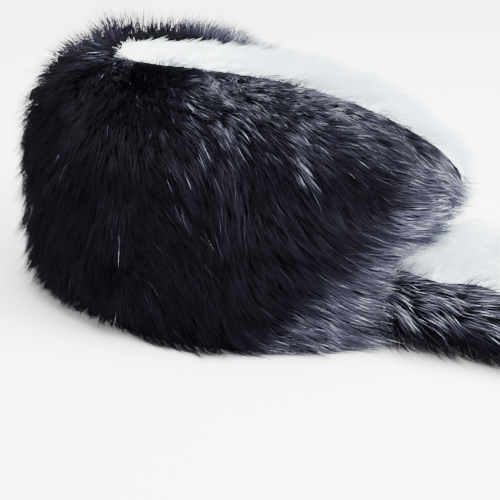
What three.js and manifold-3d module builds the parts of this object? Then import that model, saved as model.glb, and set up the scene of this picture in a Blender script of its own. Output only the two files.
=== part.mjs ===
// A fur cap with a tail: a hollow hide, coats of deep black and white fur over it, and a bushy tail behind.
// Millimetres, +Z up. The wearer faces -Y and the wearer's left is +X. The cap stands on its rim at z = 0,
// with the tail lying on the same surface behind it, and the origin is the middle of that footprint.
import * as THREE from "three";
import { mergeVertices } from "three/addons/utils/BufferGeometryUtils.js";
import Module from "manifold-3d";

const wasm = await Module();
wasm.setup();

// Driving sizes of the cap.
const openingLength = 200; // head opening, front to back
const openingWidth = 170;
const hideThickness = 2.5;
const crownHeight = 143; // hide, from the rim to the top of the crown
const stripeWidth = 54; // white fur along the middle of the crown
const camberHeight = 2; // rise of the crown from the stripe's edges to its middle

// Driving sizes of the fur, measured from the hide along its normal.
const rootDepth = 8; // where one row of locks comes out from under the row above
const bodyDepth = 15; // dense fur
const tipDepth = 24; // pointed ends of the locks
const hemLift = 2; // the fur ends this far above the rim's face
const frontHemLift = 11; // the same round the front, where the hide's edge shows
const seamGap = 0.5; // between pieces that are sewn to each other

// Driving sizes of the tail.
const tailLength = 325;
const tailWidth = 136; // over the fur
const tailThickness = 62; // over the fur
const tailStripeAngle = 50; // degrees from the top of the tail to the edge of its white fur
const tailSwing = 84; // how far the tail's end lies to the wearer's left
const tailRootDepth = 54; // how far ahead of the rim's back end the middle of its root lies

// How finely the surfaces are divided.
const halfColumns = 24; // from the front of the cap to the stripe at the back, on each side
const stripeColumns = 6;
const crownRows = 5; // rows of locks from the stripe to the crease
const bandRows = 5; // rows of locks from the crease to the rim
const tailColumns = 18;
const tailRows = 13;

const black = { color: 0x17161c, roughness: 0.75, metalness: 0 };
const white = { color: 0xe9eded, roughness: 0.8, metalness: 0 };
const leather = { color: 0xb9b2a6, roughness: 0.85, metalness: 0 };

const halfLength = openingLength / 2 + hideThickness;
const halfWidth = openingWidth / 2 + hideThickness;
const halfStripe = stripeWidth / 2;

// The hide in level loops, from the rim up to the edge of the white stripe. front and back are heights as
// shares of crownHeight; ahead, widest and behind are distances along Y as shares of halfLength; spread goes
// from halfStripe at 0 to halfWidth at 1; droop says how late the loop falls from its front height to its
// back height; taper narrows the front half of the loop over 1, and squares it off under 1.
const loopTable = [
  { front: 0.0, back: 0.0, ahead: 1.0, widest: 0.12, behind: 1.0, spread: 1.0, droop: 1, taper: 0.98 },
  { front: 0.17, back: 0.15, ahead: 1.06, widest: 0.12, behind: 0.98, spread: 1.06, droop: 1.2, taper: 0.98 },
  { front: 0.36, back: 0.28, ahead: 1.1, widest: 0.12, behind: 0.97, spread: 1.12, droop: 1.4, taper: 0.98 },
  { front: 0.54, back: 0.38, ahead: 1.11, widest: 0.1, behind: 1.03, spread: 1.15, droop: 1.7, taper: 0.98 },
  { front: 0.7, back: 0.47, ahead: 1.11, widest: 0.08, behind: 1.16, spread: 1.13, droop: 2.1, taper: 0.98 },
  { front: 0.83, back: 0.54, ahead: 1.08, widest: 0.06, behind: 1.26, spread: 1.06, droop: 2.5, taper: 0.98 },
  { front: 0.915, back: 0.6, ahead: 1.0, widest: 0.02, behind: 1.32, spread: 0.88, droop: 2.8, taper: 0.95 },
  { front: 0.965, back: 0.64, ahead: 0.89, widest: -0.07, behind: 1.33, spread: 0.57, droop: 3, taper: 0.88 },
  { front: 0.99, back: 0.665, ahead: 0.78, widest: -0.18, behind: 1.32, spread: 0.26, droop: 3.1, taper: 0.76 },
  { front: 1.0, back: 0.68, ahead: 0.7, widest: -0.31, behind: 1.3, spread: 0.0, droop: 3.1, taper: 0.65 },
];
const creaseLoop = 4; // the loop where the crown's fur overhangs the band's

// Soft hollows and swells. side runs from -1 at the back on the wearer's right, over 0 at the front, to 1 at
// the back on the left; level runs from 0 at the rim to 1 at the stripe; depth is a share of crownHeight.
const dentTable = [
  { side: 0.62, level: 0.3, sideSize: 0.2, levelSize: 0.14, depth: 0.035 },
  { side: 0.3, level: 0.62, sideSize: 0.13, levelSize: 0.12, depth: -0.02 },
  { side: -0.55, level: 0.34, sideSize: 0.2, levelSize: 0.15, depth: 0.03 },
  { side: -0.2, level: 0.7, sideSize: 0.16, levelSize: 0.1, depth: 0.022 },
  { side: 0.08, level: 0.86, sideSize: 0.14, levelSize: 0.08, depth: -0.02 },
];

// The tail's sections from the cap to the tip: along is a share of tailLength, wide and thick are shares of
// the core's width and thickness.
const tailTable = [
  { along: 0.0, wide: 0.98, thick: 0.92 },
  { along: 0.14, wide: 1.04, thick: 0.98 },
  { along: 0.32, wide: 1.08, thick: 1.0 },
  { along: 0.5, wide: 1.06, thick: 1.04 },
  { along: 0.7, wide: 0.94, thick: 0.96 },
  { along: 0.88, wide: 0.64, thick: 0.78 },
  { along: 1.0, wide: 0.2, thick: 0.36 },
];

// A row of locks, as rings around the cap: along is a share of the way from its root to the next row's root.
// crest, notch and tip vary from lock to lock: uneven, shorter and lower are the most that they change by.
const lockShape = {
  crest: { along: 0.45, height: bodyDepth, uneven: 0.08 },
  notch: { along: 0.72, height: bodyDepth * 0.86 },
  tip: { along: 1.16, height: tipDepth, shorter: 0.14, lower: 0.3 },
  under: { along: 0.86, height: rootDepth },
};
const shortFur = 0.82; // shorter fur on the crown beside the back of the stripe, and at the tail's root
const sleekFur = 0.66; // the front of the stripe, which lies lower than the black fur on both sides of it
const backFur = { start: 0.35, full: 0.7 }; // sides between which the fur beside the stripe gets shorter
const frontHem = { full: 0.3, end: 0.5 }; // sides between which the front's higher hem comes down
const stripeFrontRow = 3.6; // where the white fur starts, in rows of the hide behind its front end
const stripeLock = 2; // rows of the hide that a lock of the stripe is long
const sideLean = 0.7; // columns that the tips on the cap's sides lean towards the back
const stripeLevel = 0.55; // above this level the loops change from ovals to the stripe's long shape

// A table's column at a real-valued row, smoothly from row to row.
function columnAt(table, column, row) {
  const last = table.length - 1;
  const i = Math.min(Math.max(Math.floor(row), 0), last - 1);
  const t = row - i;
  const value = (k) => table[Math.min(Math.max(k, 0), last)][column];
  const [a, b, c, d] = [value(i - 1), value(i), value(i + 1), value(i + 2)];
  const slopeIn = i === 0 ? c - b : (c - a) / 2;
  const slopeOut = i === last - 1 ? c - b : (d - b) / 2;
  const t2 = t * t;
  const t3 = t2 * t;
  const fromValues = (2 * t3 - 3 * t2 + 1) * b + (3 * t2 - 2 * t3) * c;
  return fromValues + (t3 - 2 * t2 + t) * slopeIn + (t3 - t2) * slopeOut;
}

// A repeatable number from 0 to 1 for a pair of whole numbers.
function chance(i, j) {
  const n = Math.sin(i * 127.1 + j * 311.7 + 74.7) * 43758.5453;
  return n - Math.floor(n);
}

// 0 at from, 1 at to, and smooth between them.
function smoothStep(from, to, x) {
  const t = Math.min(Math.max((x - from) / (to - from), 0), 1);
  return t * t * (3 - 2 * t);
}

// The hide's outer face. side and level are as in the dent table.
function hidePoint(side, level) {
  const row = level * (loopTable.length - 1);
  const loop = (column) => columnAt(loopTable, column, row);
  const turn = Math.abs(side) * Math.PI;
  const ahead = loop("ahead") * halfLength;
  const widest = loop("widest") * halfLength;
  const behind = loop("behind") * halfLength;
  const half = halfStripe + loop("spread") * (halfWidth - halfStripe);
  const atFront = turn <= Math.PI / 2;
  const straight = smoothStep(stripeLevel, 1, level);
  const backShare = THREE.MathUtils.lerp(-Math.cos(turn), (2 * turn) / Math.PI - 1, straight);
  const aroundFront = half * Math.sin(turn) ** loop("taper");
  const x = atFront ? aroundFront : halfStripe + (half - halfStripe) * Math.sin(turn);
  const y = atFront ? widest - (widest + ahead) * Math.cos(turn) : widest + (behind - widest) * backShare;
  const fall = Math.max((y + ahead) / (ahead + behind), 0) ** loop("droop");
  const z = THREE.MathUtils.lerp(loop("front"), loop("back"), fall) * crownHeight;
  const dent = dentTable.reduce((sum, d) => {
    const away = ((side - d.side) / d.sideSize) ** 2 + ((level - d.level) / d.levelSize) ** 2;
    return sum + d.depth * crownHeight * Math.exp(-away);
  }, 0);
  const inwards = 1 - (dent * smoothStep(0, loopTable[1].front, level)) / Math.hypot(x, y);
  const sink = dent * smoothStep(stripeLevel, 1, level);
  return new THREE.Vector3(Math.sign(side) * x * inwards, y * inwards, z - sink);
}

// Triangles gathered as corner points, welded where they meet.
class Skin {
  constructor() {
    this.corners = [];
  }

  triangle(a, b, c) {
    this.corners.push(a, b, c);
  }

  quad(a, b, c, d) {
    this.triangle(a, b, c);
    this.triangle(a, c, d);
  }

  // Quads between rows of points, each row as long as the next. flip turns the faces round.
  grid(rows, flip = false) {
    for (let r = 0; r + 1 < rows.length; r++) {
      for (let c = 0; c + 1 < rows[r].length; c++) {
        const [a, b, d, e] = [rows[r][c], rows[r + 1][c], rows[r + 1][c + 1], rows[r][c + 1]];
        if (flip) this.quad(a, e, d, b);
        else this.quad(a, b, d, e);
      }
    }
  }

  // Triangles between two lines of {at, point}, taking whichever comes next.
  zip(first, second, flip = false) {
    let i = 0;
    let j = 0;
    while (i + 1 < first.length || j + 1 < second.length) {
      const secondDone = j + 1 === second.length;
      const takeFirst = secondDone || (i + 1 < first.length && first[i + 1].at <= second[j + 1].at);
      const third = takeFirst ? first[i + 1] : second[j + 1];
      const corners = [first[i].point, third.point, second[j].point];
      this.triangle(...(flip ? corners.reverse() : corners));
      if (takeFirst) i += 1;
      else j += 1;
    }
  }

  geometry() {
    const position = new Float32Array(this.corners.flatMap((p) => p.toArray()));
    const loose = new THREE.BufferGeometry();
    loose.setAttribute("position", new THREE.BufferAttribute(position, 3));
    const welded = mergeVertices(loose, 1e-3);
    const index = [];
    for (let i = 0; i < welded.index.count; i += 3) {
      const [a, b, c] = welded.index.array.slice(i, i + 3);
      if (a !== b && b !== c && c !== a) index.push(a, b, c);
    }
    welded.setIndex(index);
    return welded;
  }
}

function solidOf(geometry) {
  const triVerts = new Uint32Array(geometry.index.array);
  const vertProperties = geometry.attributes.position.array;
  return new wasm.Manifold(new wasm.Mesh({ numProp: 3, vertProperties, triVerts }));
}

// What is left of a piece once another is cut from it, without the crumbs.
function cutBy(solid, cutter) {
  const bodies = solid.subtract(cutter).decompose();
  return bodies.reduce((largest, body) => (body.volume() > largest.volume() ? body : largest));
}

function geometryOf(solid) {
  const mesh = solid.getMesh();
  const geometry = new THREE.BufferGeometry();
  geometry.setAttribute("position", new THREE.BufferAttribute(mesh.vertProperties, 3));
  geometry.setIndex(new THREE.BufferAttribute(mesh.triVerts, 1));
  geometry.computeVertexNormals();
  return geometry;
}

// A grid of surface points with normals that agree wherever two grids share a point.
class Sheet {
  constructor(points, normals) {
    this.points = points;
    this.normals = points.map((row) => row.map((p) => normals.get(keyOf(p))));
  }

  // The point and normal at real-valued row and column.
  at(row, column) {
    const mixed = (grid) => {
      const r = Math.min(Math.max(Math.floor(row), 0), grid.length - 2);
      const c = Math.min(Math.max(Math.floor(column), 0), grid[0].length - 2);
      const near = grid[r][c].clone().lerp(grid[r][c + 1], column - c);
      const far = grid[r + 1][c].clone().lerp(grid[r + 1][c + 1], column - c);
      return near.lerp(far, row - r);
    };
    return { point: mixed(this.points), normal: mixed(this.normals).normalize() };
  }

  // at() moved along the normal.
  lifted(row, column, height) {
    const { point, normal } = this.at(row, column);
    return point.addScaledVector(normal, height);
  }
}

function keyOf(p) {
  return p.toArray().map((x) => x.toFixed(3)).join();
}

// The summed normal of the triangles that meet at each corner.
function normalsOf(corners) {
  const normals = new Map();
  for (let i = 0; i < corners.length; i += 3) {
    const [a, b, c] = corners.slice(i, i + 3);
    const face = b.clone().sub(a).cross(c.clone().sub(a));
    for (const p of [a, b, c]) {
      const key = keyOf(p);
      normals.set(key, (normals.get(key) ?? new THREE.Vector3()).add(face));
    }
  }
  normals.forEach((n) => n.normalize());
  return normals;
}

// The cap's hide: the part under the black fur, with its columns from the back on the right round the front
// to the back on the left, and the part under the stripe, from its front end over the crown and down the back.
const sideColumns = 2 * halfColumns;
const creaseLevel = creaseLoop / (loopTable.length - 1);
const levelPerHeight = 1 / ((loopTable.length - 1) * loopTable[1].front * crownHeight);
function hemLevel(side) {
  const share = smoothStep(frontHem.end, frontHem.full, Math.abs(side));
  return THREE.MathUtils.lerp(hemLift, frontHemLift, share) * levelPerHeight;
}
const sidePoints = Array.from({ length: crownRows + bandRows + 2 }, (_, r) =>
  Array.from({ length: sideColumns + 1 }, (_, c) => {
    const side = c / halfColumns - 1;
    if (r <= crownRows) return hidePoint(side, THREE.MathUtils.lerp(1, creaseLevel, r / crownRows));
    if (r > crownRows + bandRows) return hidePoint(side, 0);
    return hidePoint(side, THREE.MathUtils.lerp(creaseLevel, hemLevel(side), (r - crownRows) / bandRows));
  }),
);
function acrossStripe(left, right, swell = 1) {
  return Array.from({ length: stripeColumns + 1 }, (_, c) => {
    if (c === 0) return left.clone();
    if (c === stripeColumns) return right.clone();
    const across = (2 * c) / stripeColumns - 1;
    const rise = swell * camberHeight * (1 - across * across) * (left.x / halfStripe);
    return left.clone().lerp(right, c / stripeColumns).add(new THREE.Vector3(0, 0, rise));
  });
}
const stripePoints = [];
for (let c = halfColumns; c >= 0; c--) {
  stripePoints.push(acrossStripe(sidePoints[0][sideColumns - c], sidePoints[0][c]));
}
const flatRow = 3; // rows down the back until the hide under the stripe has no swell left
sidePoints.slice(1).forEach((row, r) => {
  stripePoints.push(acrossStripe(row[sideColumns], row[0], smoothStep(flatRow, 0, r + 1)));
});

const outerFace = new Skin();
outerFace.grid(sidePoints);
outerFace.grid(stripePoints);
const hideNormals = normalsOf(outerFace.corners);
const rimPoints = [...sidePoints.at(-1), ...stripePoints.at(-1).slice(1, -1)];
for (const p of rimPoints) {
  hideNormals.get(keyOf(p)).setZ(0).normalize();
}
const sideSheet = new Sheet(sidePoints, hideNormals);
const stripeSheet = new Sheet(stripePoints, hideNormals);

function hideOffset(p, distance) {
  return p.clone().addScaledVector(hideNormals.get(keyOf(p)), distance);
}

function makeHide() {
  const skin = new Skin();
  const inwards = (p) => hideOffset(p, -hideThickness);
  skin.corners.push(...outerFace.corners);
  skin.grid(sidePoints.map((row) => row.map(inwards)), true);
  skin.grid(stripePoints.map((row) => row.map(inwards)), true);
  rimPoints.forEach((p, i) => {
    const next = rimPoints[(i + 1) % rimPoints.length];
    skin.quad(p, inwards(p), inwards(next), next);
  });
  return solidOf(skin.geometry());
}

// Everything that the hide encloses, grown by a distance. It reaches below the rim.
function makeHideForm(distance) {
  const skin = new Skin();
  const outwards = (p) => hideOffset(p, distance);
  const below = (p) => outwards(p).setZ(-crownHeight);
  const middle = new THREE.Vector3(0, 0, -crownHeight);
  skin.grid(sidePoints.map((row) => row.map(outwards)));
  skin.grid(stripePoints.map((row) => row.map(outwards)));
  rimPoints.forEach((p, i) => {
    const next = rimPoints[(i + 1) % rimPoints.length];
    skin.quad(outwards(p), below(p), below(next), outwards(next));
    skin.triangle(below(p), middle, below(next));
  });
  return solidOf(skin.geometry());
}

// A coat of fur over part of a sheet: dense fur with rows of overlapping pointed locks. The hair runs from
// low to high rows. rows lists where each row of locks starts, and where the last one ends. slant is how many
// columns the tips lean towards the back, depth scales the fur at a place, hang is how far the last row may
// hang over its end, and floor stops the fur at z = 0.
const plainCoat = { slant: () => 0, depth: () => 1, hang: lockShape.tip.along, floor: false };
function makeCoat(wishes) {
  const { sheet, rows, slant, depth, hang, floor, seed } = { ...plainCoat, ...wishes };
  const columns = sheet.points[0].length - 1;
  const firstRow = rows[0];
  const lastRow = rows.at(-1);
  const inset = (column, row) => {
    const edge = column === 0 ? 1 : column === columns ? -1 : 0;
    const step = sheet.at(row, column).point.distanceTo(sheet.at(row, column + edge).point);
    return edge === 0 ? column : column + (edge * seamGap) / Math.max(step, seamGap);
  };
  const inner = (row, column) => sheet.lifted(row, inset(column, row), seamGap);
  const outer = (row, column, height, lean = 0) => {
    const place = inset(column, Math.min(row, lastRow)) + lean;
    const point = sheet.lifted(row, place, height * depth(row, place));
    return floor ? point.setZ(Math.max(point.z, 0)) : point;
  };
  const ring = (make) => Array.from({ length: columns + 1 }, (_, column) => make(column));

  const { crest, notch, tip, under } = lockShape;
  const rings = [{ at: firstRow, points: ring((column) => outer(firstRow, column, under.height)) }];
  for (let j = 0; j + 1 < rows.length; j++) {
    const start = rows[j];
    const length = rows[j + 1] - start;
    const isLast = j + 2 === rows.length;
    const crestRow = start + crest.along * length;
    const notchRow = start + notch.along * length;
    const underRow = isLast ? lastRow : start + under.along * length;
    const luck = (column, kind) => chance(column, j + seed + 31 * kind);
    const crestPoint = (column) =>
      outer(crestRow, column, crest.height * (1 + crest.uneven * (2 * luck(column, 0) - 1)));
    const hemPoint = (column) => {
      const isEdge = column === 0 || column === columns;
      if (isEdge || (column + j) % 2 === 0) return outer(notchRow, column, notch.height);
      const reach = Math.min(tip.along - tip.shorter * luck(column, 1), isLast ? hang : tip.along);
      const height = THREE.MathUtils.lerp(tip.height, bodyDepth, tip.lower * luck(column, 2));
      return outer(start + reach * length, column, height, slant(column));
    };
    rings.push({ at: crestRow, points: ring(crestPoint) });
    rings.push({ at: notchRow, points: ring(hemPoint) });
    rings.push({ at: underRow, points: ring((column) => outer(underRow, column, under.height)) });
  }

  const innerRows = [firstRow];
  for (let r = Math.floor(firstRow) + 1; r < lastRow; r++) innerRows.push(r);
  innerRows.push(lastRow);
  const innerRings = innerRows.map((row) => ({ at: row, points: ring((column) => inner(row, column)) }));

  const skin = new Skin();
  skin.grid(rings.map((r) => r.points));
  skin.grid(innerRings.map((r) => r.points), true);
  skin.grid([innerRings[0].points, rings[0].points]);
  skin.grid([rings.at(-1).points, innerRings.at(-1).points]);
  for (const column of [0, columns]) {
    const edgeOf = (list) => list.map((r) => ({ at: r.at, point: r.points[column] }));
    skin.zip(edgeOf(innerRings), edgeOf(rings), column === columns);
  }
  return solidOf(skin.geometry());
}

// Tips on the cap's sides lean to the back, and not at the front or beside the stripe.
function leanBack(column) {
  const side = column / halfColumns - 1;
  return sideLean * Math.sin(Math.PI * side);
}

function makeCrownFur() {
  const start = seamGap / sidePoints[0][halfColumns].distanceTo(sidePoints[1][halfColumns]);
  const rows = Array.from({ length: crownRows + 1 }, (_, r) => r);
  rows[0] = start;
  rows[crownRows] -= start;
  const depth = (row, column) => {
    const back = smoothStep(backFur.start, backFur.full, Math.abs(column / halfColumns - 1));
    return THREE.MathUtils.lerp(1, shortFur, back * smoothStep(crownRows, 0, row));
  };
  return makeCoat({ sheet: sideSheet, rows, slant: leanBack, depth, seed: 3 });
}

function makeBandFur() {
  const rows = Array.from({ length: bandRows + 1 }, (_, r) => crownRows + r);
  return makeCoat({ sheet: sideSheet, rows, slant: leanBack, hang: 0.9, floor: true, seed: 11 });
}

// The white fur runs from the front of the crown over the rear corner and down into the tail's root.
function makeStripeFur() {
  const backRows = sidePoints.filter((row, r) => r > 0 && row[0].z > tailThickness / 2).length;
  const rows = [stripeFrontRow];
  for (let r = Math.ceil(stripeFrontRow) + stripeLock; r <= halfColumns; r += stripeLock) rows.push(r);
  for (let r = 1; r <= backRows; r++) rows.push(halfColumns + r);
  const depth = (row) => THREE.MathUtils.lerp(sleekFur, 0.9, smoothStep(halfColumns / 4, halfColumns / 2, row));
  return makeCoat({ sheet: stripeSheet, rows, depth, hang: 1, seed: 23 });
}

// The tail's stuffed core, flattened and tapering. Its black columns run from the right edge of its white fur
// round underneath to the left edge, and its white ones on over the top.
const coreWidth = tailWidth - 2 * tipDepth;
const coreThickness = tailThickness - bodyDepth - tipDepth;
const tailRoot = halfLength - tailRootDepth;
function tailPoint(along, angle) {
  const row = tailTable.findIndex((section) => section.along >= along) - 1;
  const r = Math.max(row, 0);
  const share = (along - tailTable[r].along) / (tailTable[r + 1].along - tailTable[r].along);
  const wide = (columnAt(tailTable, "wide", r + share) * coreWidth) / 2;
  const thick = (columnAt(tailTable, "thick", r + share) * coreThickness) / 2;
  const bend = (along * Math.PI) / 2;
  const heading = Math.atan((tailSwing * Math.PI * Math.cos(bend)) / 2 / tailLength);
  const across = wide * Math.sin(angle);
  return new THREE.Vector3(
    tailSwing * Math.sin(bend) + across * Math.cos(heading),
    tailRoot + along * tailLength - across * Math.sin(heading),
    bodyDepth + coreThickness / 2 + thick * Math.cos(angle),
  );
}

const whiteColumns = 4;
const whiteAngle = THREE.MathUtils.degToRad(tailStripeAngle);
const blackColumns = tailColumns - whiteColumns;
const coreShare = 1 - tipDepth / 2 / tailLength; // the locks at the tip reach past the core
const tailAlong = Array.from({ length: tailRows + 1 }, (_, r) => (r / tailRows) * coreShare);
const tailBlackPoints = tailAlong.map((along) =>
  Array.from({ length: blackColumns + 1 }, (_, c) => {
    const angle = THREE.MathUtils.lerp(2 * Math.PI - whiteAngle, whiteAngle, c / blackColumns);
    return tailPoint(along, angle);
  }),
);
const tailWhitePoints = tailAlong.map((along) =>
  Array.from({ length: whiteColumns + 1 }, (_, c) => {
    const angle = THREE.MathUtils.lerp(whiteAngle, -whiteAngle, c / whiteColumns);
    return tailPoint(along, angle);
  }),
);
const tailFace = new Skin();
tailFace.grid(tailBlackPoints);
tailFace.grid(tailWhitePoints);
const tailNormals = normalsOf(tailFace.corners);
const tailBlackSheet = new Sheet(tailBlackPoints, tailNormals);
const tailWhiteSheet = new Sheet(tailWhitePoints, tailNormals);

// The core grown by a distance under its black fur and another under its white fur, up to a row.
function makeTailForm(underBlack, underWhite, lastRow) {
  const grown = [];
  for (let r = 0; r <= lastRow; r++) {
    const isEdge = (c) => c === 0 || c === blackColumns;
    const around = tailBlackPoints[r].map((_, c) => {
      const distance = isEdge(c) ? Math.min(underBlack, underWhite) : underBlack;
      return tailBlackSheet.lifted(r, c, distance * tailDepth(r));
    });
    for (let c = 1; c < whiteColumns; c++) {
      around.push(tailWhiteSheet.lifted(r, c, underWhite * tailDepth(r)));
    }
    grown.push([...around, around[0]]);
  }
  const skin = new Skin();
  skin.grid(grown);
  for (const r of [0, lastRow]) {
    const middle = tailBlackPoints[r].reduce((sum, p) => sum.add(p), new THREE.Vector3());
    middle.divideScalar(blackColumns + 1);
    for (let c = 0; c + 1 < grown[r].length; c++) {
      if (r === 0) skin.triangle(grown[r][c], grown[r][c + 1], middle);
      else skin.triangle(grown[r][c + 1], grown[r][c], middle);
    }
  }
  return solidOf(skin.geometry());
}

// Fur is a little shorter where the tail leaves the cap.
function tailDepth(row) {
  return THREE.MathUtils.lerp(shortFur, 1, smoothStep(0, tailRows / 3, row));
}

const tailFurRows = Array.from({ length: tailRows + 1 }, (_, r) => r);

function makeTailFur() {
  const coat = makeCoat({
    sheet: tailBlackSheet,
    rows: tailFurRows,
    depth: tailDepth,
    floor: true,
    hang: 1.4,
    seed: 41,
  });
  return coat.add(makeTailForm(2 * seamGap, 0, tailRows));
}

function makeTailStripe() {
  return makeCoat({ sheet: tailWhiteSheet, rows: tailFurRows, depth: tailDepth, hang: 1.4, seed: 59 });
}

// The room that the tail's root takes in the fur at the back of the cap.
function makeTailRoom() {
  return makeTailForm(tipDepth + seamGap, tipDepth + seamGap, Math.ceil(tailRows / 3));
}

const hideForm = makeHideForm(seamGap);
const tailRoom = makeTailRoom();
const pieces = [
  ["hide_shell", makeHide(), leather],
  ["crown_fur", cutBy(makeCrownFur(), tailRoom), black],
  ["band_fur", cutBy(makeBandFur(), tailRoom), black],
  ["stripe_fur", cutBy(makeStripeFur(), tailRoom), white],
  ["tail_fur", cutBy(makeTailFur(), hideForm), black],
  ["tail_stripe", cutBy(makeTailStripe(), hideForm), white],
];

const cap = new THREE.Group();
for (const [name, solid, look] of pieces) {
  const mesh = new THREE.Mesh(geometryOf(solid), new THREE.MeshStandardMaterial(look));
  mesh.name = name;
  cap.add(mesh);
}

// The footprint's middle becomes the origin.
const footprint = new THREE.Box3().setFromObject(cap);
const middle = footprint.getCenter(new THREE.Vector3());
cap.position.set(-middle.x, -middle.y, 0);
const part = new THREE.Group();
part.add(cap);

export default part;
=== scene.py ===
"""A fur cap: blue-black fur over a hollow hide, a white stripe along the crown, and a bushy tail behind.

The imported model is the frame. Its hide stays and gets a leather finish. Each coat of fur is replaced by
hair that grows on the same hide: a dense undercoat, and thousands of tapered hairs over it that lean the
way the fur was combed, in wisps and locks. Everything is in metres, +Z up; the wearer faces -Y and their
left is +X.
"""

import math
from functools import partial

import bmesh
import bpy
import numpy as np
from mathutils import Matrix, Vector
from mathutils.bvhtree import BVHTree


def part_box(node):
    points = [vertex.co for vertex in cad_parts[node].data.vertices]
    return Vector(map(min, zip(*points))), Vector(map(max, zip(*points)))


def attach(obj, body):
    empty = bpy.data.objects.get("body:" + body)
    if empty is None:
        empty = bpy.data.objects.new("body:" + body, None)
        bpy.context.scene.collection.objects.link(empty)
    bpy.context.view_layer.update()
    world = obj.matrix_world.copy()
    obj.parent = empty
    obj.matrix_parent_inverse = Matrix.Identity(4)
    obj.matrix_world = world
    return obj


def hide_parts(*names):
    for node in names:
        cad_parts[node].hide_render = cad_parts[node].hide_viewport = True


MM = 0.001
DOWN = np.array([0.0, 0.0, -1.0])
BACK = np.array([0.0, 1.0, 0.0])

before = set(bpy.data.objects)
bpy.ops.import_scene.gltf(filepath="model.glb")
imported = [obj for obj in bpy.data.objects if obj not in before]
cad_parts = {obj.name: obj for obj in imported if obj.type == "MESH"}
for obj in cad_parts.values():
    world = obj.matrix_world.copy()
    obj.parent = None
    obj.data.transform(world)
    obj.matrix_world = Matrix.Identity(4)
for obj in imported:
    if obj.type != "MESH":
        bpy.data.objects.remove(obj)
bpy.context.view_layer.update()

# Places on the cap, from the frame.
HIDE_LOW, HIDE_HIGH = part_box("hide_shell")
STRIPE_LOW, STRIPE_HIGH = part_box("stripe_fur")
HALF_STRIPE = (STRIPE_HIGH.x - STRIPE_LOW.x) / 2
RIM = [v.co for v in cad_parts["hide_shell"].data.vertices if v.co.z < 0.1 * MM]
MIDDLE_X = (min(p.x for p in RIM) + max(p.x for p in RIM)) / 2
MIDDLE_Y = (min(p.y for p in RIM) + max(p.y for p in RIM)) / 2
CAP_LENGTH = HIDE_HIGH.y - HIDE_LOW.y
CAP_HEIGHT = HIDE_HIGH.z
# A point in the hollow, which the hide's inner face looks at from all sides.
HIDE_HEART = Vector((MIDDLE_X, (HIDE_LOW.y + HIDE_HIGH.y) / 2 - 10 * MM, 0.38 * CAP_HEIGHT))

# Sizes of the fur. Real guard hairs are 0.05 to 0.1 mm thick, too fine to show in the picture, so each hair
# here is as thick as a few that stick together.
SKIN_GAP = 0.4 * MM  # from the hide to the undercoat's roots
UNDERCOAT = 11 * MM  # depth of the dense undercoat
HIGH_UNDERCOAT = 1.45  # times as deep where the hair stands up
HAIR_LENGTH = 27.5 * MM
HAIR_WIDTH = 0.22 * MM  # from the middle of a hair's root to its corners
ROOT_DEPTH = 0.6 * UNDERCOAT  # hairs start inside the undercoat
HAIRS_PER_AREA = 620_000.0  # in a square metre
LOCK_SPACING = 12 * MM
WISP_SPACING = 3 * MM
FLOOR_GAP = 0.7 * MM  # hair that meets the surface lies on it
WOOL_FLOOR_GAP = 0.8 * MM  # how far above the hair's lowest place the undercoat ends
HEM = 9 * MM  # the hair ends this far above the rim at the front, where the hide's edge shows


def linear(code):
    """An sRGB hex colour as linear RGBA."""
    values = [int(code[i : i + 2], 16) / 255 for i in (1, 3, 5)]
    return [v / 12.92 if v <= 0.04045 else ((v + 0.055) / 1.055) ** 2.4 for v in values] + [1.0]


def add_node(tree, kind, inputs=(), **settings):
    """Adds a node with its settings. Its inputs are given by name, or in the order of its open sockets. Each
    is a value, or an output that it is linked to, or a node for that node's first open output. None leaves
    an input as it is."""
    node = tree.nodes.new(kind)
    for name, value in settings.items():
        setattr(node, name, value)
    sockets = [socket for socket in node.inputs if socket.enabled]
    if isinstance(inputs, dict):
        sockets = [next(s for s in sockets if s.name == name) for name in inputs]
        inputs = inputs.values()
    for socket, value in zip(sockets, inputs):
        if isinstance(value, bpy.types.Node):
            value = next(output for output in value.outputs if output.enabled)
        if isinstance(value, bpy.types.NodeSocket):
            tree.links.new(value, socket)
        elif value is not None:
            socket.default_value = value
    return node


def fade(low, high, value):
    """0 below low, 1 above high and smooth between, for arrays."""
    t = np.clip((value - low) / (high - low), 0, 1)
    return t * t * (3 - 2 * t)


def unit(vectors):
    return vectors / np.maximum(np.linalg.norm(vectors, axis=1, keepdims=True), 1e-9)


def along_skin(direction, normals):
    """The part of each direction that lies in the skin, at length 1."""
    return unit(direction - normals * np.sum(direction * normals, axis=1, keepdims=True))


# Skin of the cap


def outer_hide():
    """The hide's outside as one smooth mesh, without its rim and its inner face."""
    bm = bmesh.new()
    bm.from_mesh(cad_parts["hide_shell"].data)
    bmesh.ops.remove_doubles(bm, verts=bm.verts, dist=0.01 * MM)
    inner = [
        f
        for f in bm.faces
        if f.normal.dot(f.calc_center_median() - HIDE_HEART) < 0 or f.normal.z < -0.95
    ]
    bmesh.ops.delete(bm, geom=inner, context="FACES")
    bmesh.ops.join_triangles(bm, faces=bm.faces, angle_face_threshold=0.7, angle_shape_threshold=1.2)
    mesh = bpy.data.meshes.new("hide_outside")
    bm.to_mesh(mesh)
    bm.free()
    skin = bpy.data.objects.new("hide_outside", mesh)
    bpy.context.scene.collection.objects.link(skin)
    smooth = skin.modifiers.new("smooth", "SUBSURF")
    smooth.levels = smooth.render_levels = 1
    evaluated = skin.evaluated_get(bpy.context.evaluated_depsgraph_get())
    fine = bpy.data.meshes.new_from_object(evaluated)
    bpy.data.objects.remove(skin)
    return fine


def surface_of(node):
    """The surface of a CAD node, to find what lies nearest."""
    bm = bmesh.new()
    bm.from_mesh(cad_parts[node].data)
    surface = BVHTree.FromBMesh(bm)
    bm.free()
    return surface


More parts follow.
